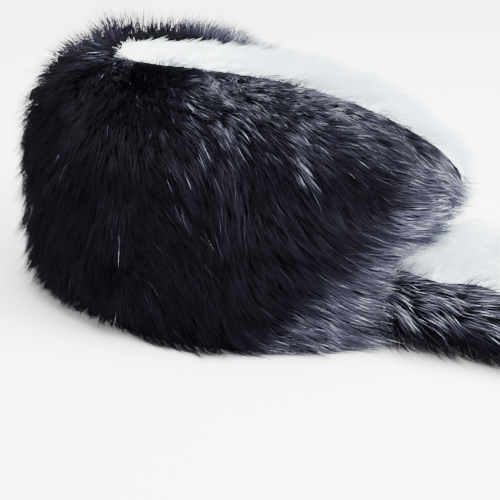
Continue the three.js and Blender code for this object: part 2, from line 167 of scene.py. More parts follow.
def coat_of_each_face(skin):
    """The name of the coat that lies on each face of the hide's outside."""
    coats = {node: surface_of(node) for node in ("crown_fur", "band_fur", "stripe_fur")}
    names = []
    for face in skin.polygons:
        gaps = {node: surface.find_nearest(face.center)[3] for node, surface in coats.items()}
        names.append(min(gaps, key=gaps.get))
    return names


def make_pelt(name, places, faces, **marks):
    """A skin that hair grows on. The marks, one for each corner point, tell the hair how to grow: stand is
    away from the skin, lie is the combed direction, depth is a share of the hair's length, lift goes from 0
    for flat hair to 1 for upright hair, silver is how pale it is, partly from pale hair and partly from
    painted sheen and painted shade, and hem is how low it may reach."""
    mesh = bpy.data.meshes.new(name)
    mesh.from_pydata(places.tolist(), [], faces, shade_flat=False)
    for mark, values in marks.items():
        values = np.asarray(values, dtype=np.float32)
        is_vector = values.ndim == 2
        layer = mesh.attributes.new(mark, "FLOAT_VECTOR" if is_vector else "FLOAT", "POINT")
        layer.data.foreach_set("vector" if is_vector else "value", values.ravel())
    return mesh


# How the cap's fur lies. Places are told by along, from 0 at the front of the hide to 1 at its back, and by
# height, from 0 at the rim to 1 at the top.

SHOULDER_BAND = 72 * MM  # width of the pale band beside the stripe: silver hair, with painted sheen where the crown's top faces the lamps
SHOULDER_BAND_REAR = 54 * MM
LOW_REAR_START = 0.53  # along, at the rim, where the silver hair and painted sheen at the back start
LOW_REAR_SLOPE = 0.56  # how much further back it starts at the top
LEVEL_START = 0.44  # along, at the rim, where the hair at the back starts to lie almost level
SILVER_AND_PAINTED_LIGHT_LIMIT = 1.3

# Painted highlights on clumps on the wearer's left, pale where the clumps catch the light: how far along,
# how high and how pale each is.
CLUMP_HIGHLIGHTS = [
    (0.65, 0.79, 1.4),
    (0.47, 0.88, 0.9),
    (0.38, 0.93, 0.7),
    (0.41, 0.78, 0.6),
    (0.47, 0.7, 0.5),
]
CLUMP_LENGTH = 0.02
CLUMP_HEIGHT = 0.06

# Degrees from straight down to straight back.
FRONT_TURN = 4
SIDE_TURN = 42  # more from the front to the middle of the side
HIGH_TURN = 18  # less in the upper half
REAR_TURN = 34  # more again at the rear
LEVEL_TURN = 78  # low at the rear, where the hair lies almost level
STRIPE_FRONT = 14 * MM  # the stretch at the stripe's front end where its hair turns forwards


def silver_and_painted_light_of(places, normals, direction):
    """How pale the black fur is, by where a hair's tip comes to lie: partly silver-tipped hair, and partly
    painted sheen where the crown's top beside the stripe and the low rear face the lamps.
    """
    tips = places + HAIR_LENGTH * (0.6 * along_skin(direction, normals) + 0.5 * normals)
    along = (tips[:, 1] - HIDE_LOW.y) / CAP_LENGTH
    height = tips[:, 2] / CAP_HEIGHT
    from_stripe = np.abs(tips[:, 0] - MIDDLE_X) - HALF_STRIPE
    # Painted sheen as well as silver hair: beside the stripe, the crown's top is paler where it faces up to
    # the lamps.
    band = SHOULDER_BAND - (SHOULDER_BAND - SHOULDER_BAND_REAR) * fade(0.6, 0.9, along)
    shoulder = (1 - fade(0.6, 1.05, from_stripe / band)) * (1.35 - 0.5 * fade(0.7, 0.9, along))
    shoulder *= fade(0.3, 0.6, normals[:, 2]) * fade(0.15, 0.55, along)
    # Painted sheen as well as silver hair: low at the rear, the fur is paler where the window lamp lights it
    # from behind.
    low_rear = fade(-0.06, 0.1, along - LOW_REAR_START - LOW_REAR_SLOPE * height)
    low_rear *= (0.75 + 0.2 * fade(0.75, 0.95, along)) * (1 - 0.45 * fade(0.5, 0.75, height))
    middle = 0.16 * fade(0.4, 0.6, height) * fade(0.25, 0.4, along) * (1 - fade(0.5, 0.7, along))
    front_top = 0.45 * fade(0.97, 1.04, height) * (1 - fade(0.2, 0.3, along))
    silver = shoulder + low_rear + middle + front_top + 0.03 * fade(0.2, 0.4, along)
    # Ahead of the rear, the wearer's right is darker: its silver and painted sheen are cut back.
    right = fade(0.0, 15 * MM, MIDDLE_X - HALF_STRIPE - places[:, 0])
    silver = np.minimum(silver, SILVER_AND_PAINTED_LIGHT_LIMIT) * (1 - 0.75 * right * (1 - fade(0.55, 0.75, along)))
    # Painted highlights: pale clumps where the fur catches the light.
    for clump_along, clump_height, pale in CLUMP_HIGHLIGHTS:
        gap = ((along - clump_along) / CLUMP_LENGTH) ** 2 + ((height - clump_height) / CLUMP_HEIGHT) ** 2
        silver += pale * np.exp(-gap) * (tips[:, 0] > MIDDLE_X)
    return silver


def lie_of_white(places):
    """The stripe's fur: back along the crown, but forwards and outwards at the stripe's front end."""
    along = (places[:, 1] - HIDE_LOW.y) / CAP_LENGTH
    spread = (places[:, 0] - MIDDLE_X) / HALF_STRIPE
    front_end = 1 - fade(0.0, STRIPE_FRONT, places[:, 1] - STRIPE_LOW.y)
    direction = BACK * (1 - 1.5 * front_end)[:, None] + 0.4 * DOWN
    direction[:, 0] += 0.5 * spread**3 + 0.8 * front_end * spread
    lift = 0.05 + 0.08 * np.abs(spread) ** 3 + 0.3 * front_end
    depth = 0.5 + 0.36 * fade(0.35, 0.65, along)
    return direction, depth, lift, np.zeros(len(places))


def lie_of_black(places, normals):
    """The black fur: down at the front, then more and more backwards, outwards on the crown, and upright
    along the front top edge, most of all on the wearer's right."""
    along = (places[:, 1] - HIDE_LOW.y) / CAP_LENGTH
    height = places[:, 2] / CAP_HEIGHT
    across = places[:, 0] - MIDDLE_X
    turn = FRONT_TURN + SIDE_TURN * fade(0.08, 0.38, along) + REAR_TURN * fade(0.6, 0.95, along)
    turn -= HIGH_TURN * fade(0.5, 0.75, height) * fade(0.15, 0.35, along)
    turn += (LEVEL_TURN - turn) * fade(-0.08, 0.04, along - LEVEL_START - LOW_REAR_SLOPE * height)
    turn = np.radians(turn)[:, None]

    # Backwards follows the wall round the cap, and outwards is away from the crown's middle line.
    level = normals * [1, 1, 0]
    steep = fade(0.5, 0.9, np.linalg.norm(level, axis=1))
    side = np.where(normals[:, 0] < 0, -1.0, 1.0)
    around = unit(np.stack([-level[:, 1] * side, level[:, 0] * side, 0 * side], axis=1))
    backward = unit(BACK + 1.2 * steep[:, None] * around)
    middle = places.copy()
    middle[:, 0] = MIDDLE_X
    middle[:, 1] = np.clip(places[:, 1], STRIPE_LOW.y + 20 * MM, HIDE_HIGH.y)
    outward = 0.1 + np.where(across > 0, 0.7, 0.4) * fade(0.75, 0.97, height)
    direction = DOWN * np.cos(turn) + backward * np.sin(turn) + outward[:, None] * unit(places - middle)
    is_top = fade(0.2, 0.6, normals[:, 2])
    beside = is_top * (1 - fade(0.0, 26 * MM, np.abs(across) - HALF_STRIPE))
    direction[:, 0] += 0.9 * beside * np.sign(across)

    front = 1 - fade(0.05, 0.3, along)
    front_top = fade(0.6, 0.95, height) * (1 - fade(0.4, 0.7, along))
    right = is_top * fade(0.0, 20 * MM, -across)
    right_top = front_top * right * (1 - fade(0.3, 0.42, along))
    right_rear = right * fade(0.36, 0.5, along)
    left_top = front_top * fade(0.12, 0.28, along) * (1 - right)
    lift = 0.16 + 0.3 * front_top + 0.3 * right_top + 0.06 * beside + 0.2 * front * (1 - front_top)
    lift *= (1 - 0.9 * right_rear) * (1 - 0.6 * left_top)
    at_tail = fade(0.75, 0.85, along) * (1 - fade(0.35, 0.5, height))
    at_tail *= 1 - fade(40 * MM, 55 * MM, np.abs(across))
    right_edge = right_top * fade(35 * MM, 60 * MM, -across)
    depth = 0.9 + 0.08 * front_top + 0.17 * right_top + 0.25 * right_edge - 0.25 * right_rear - 0.4 * at_tail
    return direction, depth, lift, silver_and_painted_light_of(places, normals, unit(direction))


def pelt_from_faces(name, skin, wanted, is_stripe):
    """The wanted faces of the hide's outside as a pelt."""
    faces = [tuple(skin.polygons[i].vertices) for i in wanted]
    used = sorted({v for face in faces for v in face})
    order = {v: i for i, v in enumerate(used)}
    places = np.array([skin.vertices[v].co for v in used])
    normals = np.array([skin.vertices[v].normal for v in used])
    direction, depth, lift, silver = lie_of_white(places) if is_stripe else lie_of_black(places, normals)
    front = 1 - fade(0.15, 0.32, (places[:, 1] - HIDE_LOW.y) / CAP_LENGTH)
    return make_pelt(
        name,
        places,
        [[order[v] for v in face] for face in faces],
        stand=normals,
        lie=along_skin(direction, normals),
        depth=depth,
        lift=lift,
        silver=silver,
        hem=FLOOR_GAP + (HEM - FLOOR_GAP) * front,
    )


# Skin of the tail

TAIL_ROOT = 48.5 * MM  # behind the middle of the head opening
TAIL_LENGTH = 325 * MM
TAIL_SWING = 84 * MM  # to the wearer's left
TAIL_FUR_SIDE = 20 * MM  # from the core to the fur's outside, at the sides
TAIL_FUR_TOP = 19 * MM
TAIL_CORE_LIFT = 5 * MM  # the core's middle is above the middle of the room under its fur
TAIL_WINDOW = 15 * MM  # the CAD points this near a station, along the tail, give its size
TAIL_SIDES = 32
TAIL_STATIONS = 30
TIP_TURNS = np.radians(np.linspace(10, 90, 7))  # the last stations round off the tip
TAIL_SHARES = np.concatenate(
    [np.linspace(0.1, 0.83, TAIL_STATIONS - len(TIP_TURNS)), 0.835 + 0.1 * np.sin(TIP_TURNS)]
)
WHITE_HALF_TURN = math.radians(50)  # from the top to the white fur's edge, round the core
WAVE_STEP = 1.5  # of the soft waves in the fur, in radians from one station to the next
WAVE_TWIST = 2.6  # and for each radian round the core
WAVE_HEIGHT = 0.22  # a share of the core's half height, at the top
GROOVE_DEPTH = 0.16  # a share of the core's half width, where its sides turn under
GROOVE_TURN = 1.35  # radians from the middle of the underside
GROOVE_SPREAD = 0.3
TAIL_HAIRS_PER_AREA = 470_000.0
TAIL_HAIR = {"Hair Length": 29 * MM, "Lock Spacing": 17 * MM, "Lock Pull": 0.3, "Swirl": 2.2}


def tail_line(share):
    """A point on the tail's middle line, seen from above, and the line's heading there."""
    bend = share * math.pi / 2
    point = Vector((MIDDLE_X + TAIL_SWING * math.sin(bend), MIDDLE_Y + TAIL_ROOT + share * TAIL_LENGTH))
    heading = Vector((TAIL_SWING * math.cos(bend) * math.pi / 2, TAIL_LENGTH)).normalized()
    return point, heading


def tail_rings():
    """The core at stations along the tail, from the two CAD nodes of the tail: its middle, the middle line's
    heading, half its width and height, and how far the station is into the rounded tip."""
    nodes = [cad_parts[node].data for node in ("tail_fur", "tail_stripe")]
    points = np.array([v.co for node in nodes for v in node.vertices])
    rings = []
    for share in TAIL_SHARES:
        point, heading = tail_line(share)
        along = (points[:, 0] - point.x) * heading.x + (points[:, 1] - point.y) * heading.y
        across = (points[:, 0] - point.x) * heading.y - (points[:, 1] - point.y) * heading.x
        near = np.abs(along) < TAIL_WINDOW
        half_wide = (across[near].max() - across[near].min()) / 2 - TAIL_FUR_SIDE
        half_tall = (points[near, 2].max() - TAIL_FUR_TOP) / 2
        middle = half_tall + TAIL_CORE_LIFT
        rings.append([*point, middle, *heading, half_wide, half_tall - TAIL_CORE_LIFT])
    rings = np.array(rings)
    soften = np.array([1, 2, 3, 2, 1]) / 9
    for column in (2, 5, 6):
        padded = np.pad(rings[:, column], 2, mode="edge")
        rings[:, column] = np.convolve(padded, soften, mode="valid")
    rings[-len(TIP_TURNS) :, 5:] *= np.maximum(np.cos(TIP_TURNS), 0.03)[:, None]
    tip = np.zeros(TAIL_STATIONS)
    tip[-len(TIP_TURNS) :] = np.sin(TIP_TURNS)
    return np.column_stack([rings, tip])


def tail_pelt(name, rings, is_white):
    """The tail's white top, or its black sides and underside, as a pelt."""
    first, last = WHITE_HALF_TURN, 2 * math.pi - WHITE_HALF_TURN
    if is_white:
        first, last = -WHITE_HALF_TURN, WHITE_HALF_TURN
    columns = round(TAIL_SIDES * (last - first) / (2 * math.pi))
    turns = np.linspace(first, last, columns + 1)
    x, y, z, head_x, head_y, wide, tall, tip = rings.T[:, :, None]
    wave = np.sin(WAVE_STEP * np.arange(TAIL_STATIONS)[:, None] + WAVE_TWIST * turns)
    ripple = 1 + WAVE_HEIGHT * wave * np.cos(turns / 2) ** 2
    from_groove = (np.abs(turns - math.pi) - GROOVE_TURN) / GROOVE_SPREAD
    groove = 1 - GROOVE_DEPTH * np.exp(-(from_groove**2))
    across = wide * groove * np.sin(turns)
    places = [x + across * head_y, y - across * head_x, z + tall * ripple * np.cos(turns)]
    places = np.stack(places, axis=-1).reshape(-1, 3)
    outward = np.sin(turns) / np.maximum(wide, MM)
    upward = np.cos(turns) / np.maximum(tall, MM)
    onward = 1.6 * tip**3 / np.maximum(tall, MM)
    normals = [outward * head_y + onward * head_x, onward * head_y - outward * head_x, upward]
    normals = unit(np.stack(normals, axis=-1).reshape(-1, 3))
    row = columns + 1
    faces = [
        [r * row + c, r * row + c + 1, (r + 1) * row + c + 1, (r + 1) * row + c]
        for r in range(TAIL_STATIONS - 1)
        for c in range(columns)
    ]
    ahead = np.repeat(rings[:, 3:5], row, axis=0)
    direction = 0.3 * unit(normals * [1, 1, 0] + [1e-6, 0, 0])
    direction[:, :2] += ahead
    high = normals[:, 2]
    if is_white:
        bush = np.zeros(len(places))
        lift = bush + 0.12
        # Painted shade and highlight: the white hair is darker in the hollows of the waves and paler on
        # their crests.
        silver = 0.5 + 0.5 * wave.ravel()
    else:
        # The black fur is bushier near the root, and paler above the tail's widest line: painted sheen where
        # the tail's upper side faces the lamps.
        direction += 0.25 * DOWN
        share = np.repeat(np.linspace(0, 1, TAIL_STATIONS), row)
        bush = 0.35 * (1 - fade(0.35, 0.65, share)) * (1 - fade(-0.1, 0.3, high))
        lift = 0.28 + 0.5 * bush
        silver = 0.15 + 1.1 * fade(-0.15, 0.2, high)
    return make_pelt(
        name,
        places,
        faces,
        stand=normals,
        lie=along_skin(unit(direction), normals),
        depth=np.where(high < -0.3, 0.7, 1.0) + bush,
        lift=lift,
        silver=silver,
        hem=np.full(len(places), FLOOR_GAP),
    )


# Hair

MATH = "ShaderNodeMath"
VECTOR = "ShaderNodeVectorMath"
RANDOM = "FunctionNodeRandomValue"
MARK = "GeometryNodeInputNamedAttribute"
KEEP = "GeometryNodeStoreNamedAttribute"

FUR_INPUTS = {
    "Geometry": "NodeSocketGeometry",
    "Hairs per Square Metre": "NodeSocketFloat",
    "Hair Length": "NodeSocketFloat",
    "Hair Width": "NodeSocketFloat",
    "Lock Spacing": "NodeSocketFloat",
    "Wisp Spacing": "NodeSocketFloat",
    "Root Depth": "NodeSocketFloat",
    "Wisp Pull": "NodeSocketFloat",
    "Lock Pull": "NodeSocketFloat",
    "Swirl": "NodeSocketFloat",
    "Seed": "NodeSocketInt",
    "Material": "NodeSocketMaterial",
}
SWIRL_SIZE = 50 * MM  # of the soft swirls that the fur is combed into
GUARD_SHARE = 0.1  # of the hairs are longer guard hairs, which gather less
WHITE_SHARE = 0.0009  # of the hairs are white, and finer


def hair_group(add, given, place, spacing, shift):
    """Points spread over the pelt, and for each hair the nearest one and the way to it."""
    area = add(MATH, (given[spacing], given[spacing]), operation="MULTIPLY")
    seeds = add(
        "GeometryNodeDistributePointsOnFaces",
        {
            "Mesh": given["Geometry"],
            "Distance Min": given[spacing],
            "Density Max": add(MATH, (1.6, area), operation="DIVIDE"),
            "Seed": add(MATH, (given["Seed"], shift), operation="ADD"),
        },
        distribute_method="POISSON",
    )
    nearest = add("GeometryNodeSampleNearest", {"Geometry": seeds}, domain="POINT")
    middle = add(
        "GeometryNodeSampleIndex",
        {"Geometry": seeds, "Value": place, "Index": nearest},
        data_type="FLOAT_VECTOR",
        domain="POINT",
    )
    return nearest, add(VECTOR, (middle, place), operation="SUBTRACT")


def hair_direction(add, given, place, lock, wisp):
    """The combed direction, with swirls, and with less order in each lock, wisp and hair."""
    noise = add("ShaderNodeTexNoise", {"Vector": place, "Scale": 1 / SWIRL_SIZE, "Detail": 1.0})
    swirl = add(VECTOR, (noise.outputs["Color"], (0.5, 0.5, 0.5)), operation="SUBTRACT")
    swirl = add(VECTOR, (swirl, given["Swirl"]), operation="SCALE")
    lie = add(MARK, {"Name": "lie"}, data_type="FLOAT_VECTOR")
    direction = add(VECTOR, (lie, swirl), operation="ADD")
    for group, seed, amount in ((lock, 11, 0.2), (wisp, 12, 0.15), (None, 13, 0.15)):
        luck = add(
            RANDOM,
            {"Min": (-1, -1, -1), "Max": (1, 1, 1), "ID": group, "Seed": seed},
            data_type="FLOAT_VECTOR",
        )
        turn = add(VECTOR, (luck, amount), operation="SCALE")
        direction = add(VECTOR, (direction, turn), operation="ADD")
    return add(VECTOR, (direction,), operation="NORMALIZE")


def hair_shade(add, lock, wisp):
    """A hair's shade from 0 to 1: near its wisp's, paler where the silver mark is high, and there with more
    pale wisps and pale single hairs. The silver mark holds painted sheen and painted shade as well as pale
    hair.
    Also says which hairs are white."""
    own = add(RANDOM, {"Min": 0.03, "Max": 0.27, "Seed": 19})
    shared = add(RANDOM, {"Min": 0.0, "Max": 0.16, "ID": wisp, "Seed": 20})
    shade = add(MATH, (own, shared), operation="ADD")
    silver = add(MARK, {"Name": "silver"}, data_type="FLOAT")
    uneven = add(RANDOM, {"Min": 0.85, "Max": 1.15, "ID": lock, "Seed": 28})
    silver = add(MATH, (silver, uneven), operation="MULTIPLY")
    own = add(RANDOM, {"Min": 0.16, "Max": 0.33, "Seed": 24})
    shared = add(RANDOM, {"Min": 0.12, "Max": 0.26, "ID": wisp, "Seed": 25})
    greyness = add(MATH, (own, shared), operation="ADD")
    shade = add(MATH, (silver, greyness, shade), operation="MULTIPLY_ADD")
    # For wisps, then single hairs: how few are pale in black fur, how many more where the silver mark is
    # high, and how pale.
    for group, few, more, least, most, seed in (
        (wisp, 0.995, 0.08, 0.0, 0.3, 21),
        (None, 0.998, 0.18, 0.15, 0.4, 26),
    ):
        limit = add(MATH, (few, add(MATH, (silver, more), operation="MULTIPLY")), operation="SUBTRACT")
        luck = add(RANDOM, {"Min": 0.0, "Max": 1.0, "ID": group, "Seed": seed})
        is_pale = add(MATH, (luck, limit), operation="GREATER_THAN")
        paler = add(RANDOM, {"Min": least, "Max": most, "Seed": seed + 1})
        shade = add(MATH, (is_pale, paler, shade), operation="MULTIPLY_ADD")
    luck = add(RANDOM, {"Min": 0.0, "Max": 1.0, "Seed": 23})
    is_white = add(MATH, (luck, WHITE_SHARE), operation="LESS_THAN")
    return add(MATH, (shade, is_white), operation="MAXIMUM"), is_white


def plan_hairs(add, given, place, hairs):
    """Stores on each hair's root how it grows: its rise away from the skin, its sweep along it, its pull to
    the wisp and the lock, its width, its shade, and the lowest place that it may reach."""
    lock, to_lock = hair_group(add, given, place, "Lock Spacing", 1)
    wisp, to_wisp = hair_group(add, given, place, "Wisp Spacing", 2)
    stand = add(MARK, {"Name": "stand"}, data_type="FLOAT_VECTOR")
    lift = add(MARK, {"Name": "lift"}, data_type="FLOAT")
    depth = add(MARK, {"Name": "depth"}, data_type="FLOAT")
    direction = hair_direction(add, given, place, lock, wisp)
    shade, is_white = hair_shade(add, lock, wisp)

    luck = add(RANDOM, {"Min": 0.0, "Max": 1.0, "Seed": 14})
    is_guard = add(MATH, (luck, GUARD_SHARE), operation="LESS_THAN")
    length = add(MATH, (given["Hair Length"], depth), operation="MULTIPLY")
    for group, low, high, seed in ((None, 0.72, 1.0, 15), (lock, 0.86, 1.1, 16), (wisp, 0.9, 1.08, 17)):
        share = add(RANDOM, {"Min": low, "Max": high, "ID": group, "Seed": seed})
        length = add(MATH, (length, share), operation="MULTIPLY")
    longer = add(MATH, (is_guard, 0.14, 1.0), operation="MULTIPLY_ADD")
    length = add(MATH, (length, longer), operation="MULTIPLY")

    # Upright hair rises more and sweeps less.
    rise_share = add(MATH, (lift, 0.45, 0.5), operation="MULTIPLY_ADD")
    rise_length = add(MATH, (length, rise_share), operation="MULTIPLY")
    rise = add(VECTOR, (stand, rise_length), operation="SCALE")
    sweep_share = add(MATH, (lift, -0.5, 0.92), operation="MULTIPLY_ADD")
    sweep_length = add(MATH, (length, sweep_share), operation="MULTIPLY")
    sweep = add(VECTOR, (direction, sweep_length), operation="SCALE")

    # Guard hairs and upright hairs gather less.
    looseness = add(MATH, (is_guard, -0.6, 1.0), operation="MULTIPLY_ADD")
    flatness = add(MATH, (1.15, lift), operation="SUBTRACT")
    gather = add(MATH, (looseness, flatness), operation="MULTIPLY")
    to_lock = add(VECTOR, (to_lock, given["Lock Pull"]), operation="SCALE")
    to_wisp = add(VECTOR, (to_wisp, given["Wisp Pull"]), operation="SCALE")
    pull = add(VECTOR, (add(VECTOR, (to_lock, to_wisp), operation="ADD"), gather), operation="SCALE")

    width = add(RANDOM, {"Min": 0.7, "Max": 1.15, "Seed": 18})
    width = add(MATH, (given["Hair Width"], width), operation="MULTIPLY")
    fineness = add(MATH, (is_white, -0.45, 1.0), operation="MULTIPLY_ADD")
    width = add(MATH, (width, fineness), operation="MULTIPLY")
    ragged = add(RANDOM, {"Min": 0.4, "Max": 1.0, "ID": wisp, "Seed": 29})
    hem = add(MATH, (add(MARK, {"Name": "hem"}, data_type="FLOAT"), ragged), operation="MULTIPLY")
    for name, kind, value in (
        ("hem", "FLOAT", hem),
        ("rise", "FLOAT_VECTOR", rise),
        ("sweep", "FLOAT_VECTOR", sweep),
        ("pull", "FLOAT_VECTOR", pull),
        ("width", "FLOAT", width),
        ("shade", "FLOAT", shade),
    ):
        hairs = add(KEEP, {"Geometry": hairs, "Name": name, "Value": value}, data_type=kind, domain="POINT")
    # These values are worked out at the skin, and only then is each root lifted off it.
    offset = add(VECTOR, (stand, given["Root Depth"]), operation="SCALE")
    return add("GeometryNodeSetPosition", {"Geometry": hairs, "Offset": offset})


def bend_hairs(add, place):
    """Where each point of a hair goes, from its place on the straight taper, and its place in the UV map."""
    taper = add(MARK, {"Name": "taper"}, data_type="FLOAT_VECTOR")
    axes = add("ShaderNodeSeparateXYZ", (taper,)).outputs
    along = axes["Z"]
    flat = add("ShaderNodeCombineXYZ", {"X": axes["X"], "Y": axes["Y"]})
    corner = add("ShaderNodeSeparateXYZ", (add(VECTOR, (flat,), operation="NORMALIZE"),)).outputs
    rise, sweep, pull = (
        add(MARK, {"Name": name}, data_type="FLOAT_VECTOR") for name in ("rise", "sweep", "pull")
    )

    # The hair's middle line stands up first, and then bends over and gathers.
    rest = add(MATH, (1.0, along), operation="SUBTRACT")
    risen = add(MATH, (1.0, add(MATH, (rest, 1.5), operation="POWER")), operation="SUBTRACT")
    swept = add(MATH, (along, 1.35), operation="POWER")
    pulled = add(MATH, (along, 1.3), operation="POWER")
    line = add(VECTOR, (place, taper), operation="SUBTRACT")
    for way, share in ((rise, risen), (sweep, swept), (pull, pulled)):
        step = add(VECTOR, (way, share), operation="SCALE")
        line = add(VECTOR, (line, step), operation="ADD")

    # The taper's corners go round that line.
    upward = add(VECTOR, (rise, add(MATH, (1.2, along), operation="SUBTRACT")), operation="SCALE")
    onward = add(VECTOR, (sweep, add(MATH, (0.4, along), operation="ADD")), operation="SCALE")
    heading = add(VECTOR, (upward, onward), operation="ADD")
    sideways = add(VECTOR, (rise, sweep), operation="CROSS_PRODUCT")
    sideways = add(VECTOR, (sideways,), operation="NORMALIZE")
    over = add(VECTOR, (heading, sideways), operation="CROSS_PRODUCT")
    over = add(VECTOR, (over,), operation="NORMALIZE")
    thinner = add(MATH, (rest, 0.7), operation="POWER")
    width = add(MARK, {"Name": "width"}, data_type="FLOAT")
    radius = add(MATH, (width, thinner), operation="MULTIPLY")
    point = line
    for way, axis in ((sideways, "X"), (over, "Y")):
        reach = add(MATH, (corner[axis], radius), operation="MULTIPLY")
        step = add(VECTOR, (way, reach), operation="SCALE")
        point = add(VECTOR, (point, step), operation="ADD")
    ends = add("ShaderNodeSeparateXYZ", (point,)).outputs
    hem = add(MARK, {"Name": "hem"}, data_type="FLOAT")
    lowest = add(MATH, (ends["Z"], hem), operation="MAXIMUM")
    settled = add("ShaderNodeCombineXYZ", {"X": ends["X"], "Y": ends["Y"], "Z": lowest})

    # The UV map says a hair's shade and the place along it, so that the finish follows each hair.
    shade = add(MARK, {"Name": "shade"}, data_type="FLOAT")
    spread = add(MATH, (corner["Y"], 0.5, corner["X"]), operation="MULTIPLY_ADD")
    across = add(MATH, (shade, 0.96, 0.02), operation="MULTIPLY_ADD")
    across = add(MATH, (spread, 0.012, across), operation="MULTIPLY_ADD")
    return settled, add("ShaderNodeCombineXYZ", {"X": across, "Y": along})


def fur_nodes():
    """Geometry Nodes that grow hair on a pelt. Each hair is a closed three-sided taper, bent from standing
    on the skin towards the fur's lie, and drawn to its wisp and its lock at the tip."""
    tree = bpy.data.node_groups.new("grow_fur", "GeometryNodeTree")
    tree.is_modifier = True
    for name, kind in FUR_INPUTS.items():
        tree.interface.new_socket(name, in_out="INPUT", socket_type=kind)
    tree.interface.new_socket("Geometry", in_out="OUTPUT", socket_type="NodeSocketGeometry")
    add = partial(add_node, tree)
    given = add("NodeGroupInput").outputs
    place = add("GeometryNodeInputPosition")
    hairs = add(
        "GeometryNodeDistributePointsOnFaces",
        {"Mesh": given["Geometry"], "Density": given["Hairs per Square Metre"], "Seed": given["Seed"]},
    )
    roots = plan_hairs(add, given, place, hairs)
    cone = add(
        "GeometryNodeMeshCone",
        {"Vertices": 3, "Side Segments": 2, "Radius Top": 0.0, "Radius Bottom": 1.0, "Depth": 1.0},
        fill_type="NGON",
    )
    cone = add(
        KEEP, {"Geometry": cone, "Name": "taper", "Value": place}, data_type="FLOAT_VECTOR", domain="POINT"
    )
    copies = add("GeometryNodeInstanceOnPoints", {"Points": roots, "Instance": cone})
    fur = add("GeometryNodeRealizeInstances", {"Geometry": copies})
    settled, coordinates = bend_hairs(add, place)
    fur = add(
        KEEP, {"Geometry": fur, "Name": "OFBake", "Value": coordinates}, data_type="FLOAT2", domain="CORNER"
    )
    fur = add("GeometryNodeSetPosition", {"Geometry": fur, "Position": settled})
    own_marks = ("rise", "sweep", "pull", "width", "shade", "taper")
    pelt_marks = ("stand", "lie", "depth", "lift", "silver", "hem")
    for name in own_marks + pelt_marks:
        fur = add("GeometryNodeRemoveAttribute", {"Geometry": fur, "Name": name})
    fur = add("GeometryNodeSetMaterial", {"Geometry": fur, "Material": given["Material"]})
    add("NodeGroupOutput", {"Geometry": fur})
    return tree


def grow(name, pelt, tree, material, density, seed, wishes):
    """Hair on a pelt as a plain mesh."""
    holder = bpy.data.objects.new(name + "_pelt", pelt)
    bpy.context.scene.collection.objects.link(holder)
    modifier = holder.modifiers.new("fur", "NODES")
    modifier.node_group = tree
    values = {
        "Hairs per Square Metre": density,
        "Hair Length": HAIR_LENGTH,
        "Hair Width": HAIR_WIDTH,
        "Lock Spacing": LOCK_SPACING,
        "Wisp Spacing": WISP_SPACING,
        "Root Depth": ROOT_DEPTH,
        "Wisp Pull": 0.3,
        "Lock Pull": 0.12,
        "Swirl": 1.5,
        "Seed": seed,
        "Material": material,
    }
    values.update(wishes)
    for socket in tree.interface.items_tree:
        if socket.in_out == "INPUT" and socket.name in values:
            modifier[socket.identifier] = values[socket.name]
    evaluated = holder.evaluated_get(bpy.context.evaluated_depsgraph_get())
    mesh = bpy.data.meshes.new_from_object(evaluated)
    bpy.data.objects.remove(holder)
    mesh.name = name
    return mesh


def read_mark(pelt, name):
    """A mark's values at the pelt's corner points."""
    layer = pelt.attributes[name]
    is_vector = layer.data_type == "FLOAT_VECTOR"
    values = np.empty(len(pelt.vertices) * (3 if is_vector else 1))
    layer.data.foreach_get("vector" if is_vector else "value", values)
    return values.reshape(-1, 3) if is_vector else values


def undercoat(name, pelt, material):
    """A closed sheet of dense short hair over a pelt."""
    places, stand, lift, hem = (read_mark(pelt, mark) for mark in ("position", "stand", "lift", "hem"))
    depth = UNDERCOAT * (1 + (HIGH_UNDERCOAT - 1) * fade(0.4, 0.75, lift))
    low = places + stand * SKIN_GAP
    high = places + stand * depth[:, None]
    for layer in (low, high):
        layer[:, 2] = np.maximum(layer[:, 2], hem + WOOL_FLOOR_GAP)
    count = len(places)
    faces = [tuple(p.vertices) for p in pelt.polygons]
    edges = dict.fromkeys((a, b) for face in faces for a, b in zip(face, face[1:] + face[:1]))
    borders = [(a, b) for a, b in edges if (b, a) not in edges]
    shell = [[v + count for v in face] for face in faces]
    shell += [list(reversed(face)) for face in faces]
    shell += [[a, b, b + count, a + count] for a, b in borders]
    mesh = bpy.data.meshes.new(name)
    mesh.from_pydata(np.vstack([low, high]).tolist(), [], shell, shade_flat=False)
    mesh.materials.append(material)
    return mesh


# Finishes

BLACK_SHADES = [
    (0.0, "#020204"),
    (0.25, "#050408"),
    (0.45, "#100e16"),
    (0.6, "#2b2935"),
    (0.75, "#484854"),
    (0.9, "#5f6372"),
    (1.0, "#c6cad4"),
]
WHITE_SHADES = [(0.0, "#b0c0c6"), (0.3, "#dde8eb"), (0.7, "#f0f7f9"), (1.0, "#f9fdfe")]

# Sizes of the patterns.
GRAIN_LENGTH = 1.0185 * MM  # of the smoother and rougher stretches, 27 along a hair
GRAIN_SHADES = 180.0  # stretches across the UV map, so that hairs of unlike shades don't match
WOOL_TUFT = 1.6 * MM  # single hairs of wool are 0.02 mm thick, too fine to show, so small tufts are drawn
WOOL_HEIGHT = 1.2 * MM
HIDE_MOTTLE = 22 * MM  # from one paler patch to the next
HIDE_PORES = 1.4 * MM  # apart, where real ones are 0.5 mm, so that the grain shows
HIDE_PORE_DEPTH = 0.3 * MM


def new_tree(name):
    """A new material's empty tree, and the material."""
    material = bpy.data.materials.new(name)
    material.use_nodes = True
    material.node_tree.nodes.clear()
    return material, partial(add_node, material.node_tree)


def set_shades(ramp, stops):
    """Gives a colour ramp its places and hex colours."""
    elements = ramp.color_ramp.elements
    while len(elements) < len(stops):
        elements.new(1.0)
    for element, (place, code) in zip(elements, stops):
        element.position = place
        element.color = linear(code)
    return ramp


